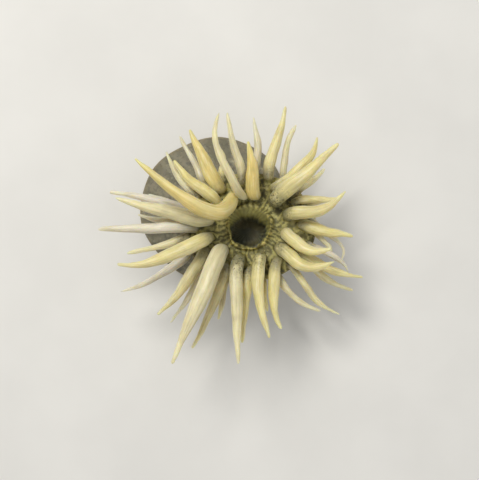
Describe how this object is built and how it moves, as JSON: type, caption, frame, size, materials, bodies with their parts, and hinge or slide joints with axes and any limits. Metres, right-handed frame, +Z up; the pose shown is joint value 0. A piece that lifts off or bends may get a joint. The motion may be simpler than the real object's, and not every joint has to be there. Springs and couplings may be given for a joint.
{
  "type": "sea anemone",
  "caption": "Still life-size model of a small sea anemone: broad foot, short leaning column, oval oral disc with open mouth, and a spread crown of tapering tentacles",
  "frame": {"origin": "centre of the flat underside of the foot, on the floor; the mouth's axis is 7 mm towards +X and 5.5 mm towards -Y of it", "axes": "+Z up through the body, the crown's shortest way; +X the long way of the oval disc, the picture's right; +Y the picture's top"},
  "size_m": [0.0504, 0.0495, 0.0276],
  "materials": {
    "inner_tentacle_flesh": "wet satin",
    "middle_tentacle_flesh": "wet satin",
    "outer_tentacle_flesh": "wet satin",
    "disc_flesh": "wet satin",
    "lip_flesh": "wet satin",
    "throat_flesh": "wet satin",
    "column_flesh": "wet satin"
  },
  "bodies": {
    "root": {"pedal_disc": "column_flesh", "column": "column_flesh", "collar": "column_flesh", "oral_disc": "disc_flesh", "lips": "lip_flesh", "throat": "throat_flesh", "tentacle_inner_01": "inner_tentacle_flesh", "tentacle_inner_02": "inner_tentacle_flesh", "tentacle_inner_03": "inner_tentacle_flesh", "tentacle_inner_04_base": "inner_tentacle_flesh", "tentacle_inner_04_tip": "inner_tentacle_flesh", "tentacle_inner_05": "inner_tentacle_flesh", "tentacle_inner_06": "inner_tentacle_flesh", "tentacle_inner_07_base": "inner_tentacle_flesh", "tentacle_inner_07_tip": "inner_tentacle_flesh", "tentacle_inner_08_base": "inner_tentacle_flesh", "tentacle_inner_08_tip": "inner_tentacle_flesh", "tentacle_inner_09": "inner_tentacle_flesh", "tentacle_inner_10": "inner_tentacle_flesh", "tentacle_inner_11_base": "inner_tentacle_flesh", "tentacle_inner_11_tip": "inner_tentacle_flesh", "tentacle_inner_12": "inner_tentacle_flesh", "tentacle_middle_01": "middle_tentacle_flesh", "tentacle_middle_02": "middle_tentacle_flesh", "tentacle_middle_03": "middle_tentacle_flesh", "tentacle_middle_04": "middle_tentacle_flesh", "tentacle_middle_05": "middle_tentacle_flesh", "tentacle_middle_06": "middle_tentacle_flesh", "tentacle_middle_07": "middle_tentacle_flesh", "tentacle_middle_08": "middle_tentacle_flesh", "tentacle_middle_09": "middle_tentacle_flesh", "tentacle_middle_10": "middle_tentacle_flesh", "tentacle_middle_11": "middle_tentacle_flesh", "tentacle_middle_12": "middle_tentacle_flesh", "tentacle_outer_01": "outer_tentacle_flesh", "tentacle_outer_02": "outer_tentacle_flesh", "tentacle_outer_03": "outer_tentacle_flesh", "tentacle_outer_04": "outer_tentacle_flesh", "tentacle_outer_05": "outer_tentacle_flesh", "tentacle_outer_06": "outer_tentacle_flesh", "tentacle_outer_07": "outer_tentacle_flesh", "tentacle_outer_08": "outer_tentacle_flesh", "tentacle_outer_09": "outer_tentacle_flesh", "tentacle_outer_10": "outer_tentacle_flesh", "tentacle_outer_11": "outer_tentacle_flesh", "tentacle_outer_12": "outer_tentacle_flesh", "tentacle_outer_13": "outer_tentacle_flesh", "tentacle_outer_14": "outer_tentacle_flesh", "tentacle_outer_15": "outer_tentacle_flesh", "tentacle_outer_16": "outer_tentacle_flesh", "tentacle_outer_17": "outer_tentacle_flesh", "tentacle_outer_18": "outer_tentacle_flesh", "tentacle_outer_19": "outer_tentacle_flesh", "tentacle_outer_20": "outer_tentacle_flesh", "tentacle_outer_21": "outer_tentacle_flesh", "tentacle_outer_22_base": "outer_tentacle_flesh", "tentacle_outer_22_tip": "outer_tentacle_flesh", "tentacle_outer_23_base": "outer_tentacle_flesh", "tentacle_outer_23_tip": "outer_tentacle_flesh", "tentacle_outer_24": "outer_tentacle_flesh"}
  },
  "joints": []
}
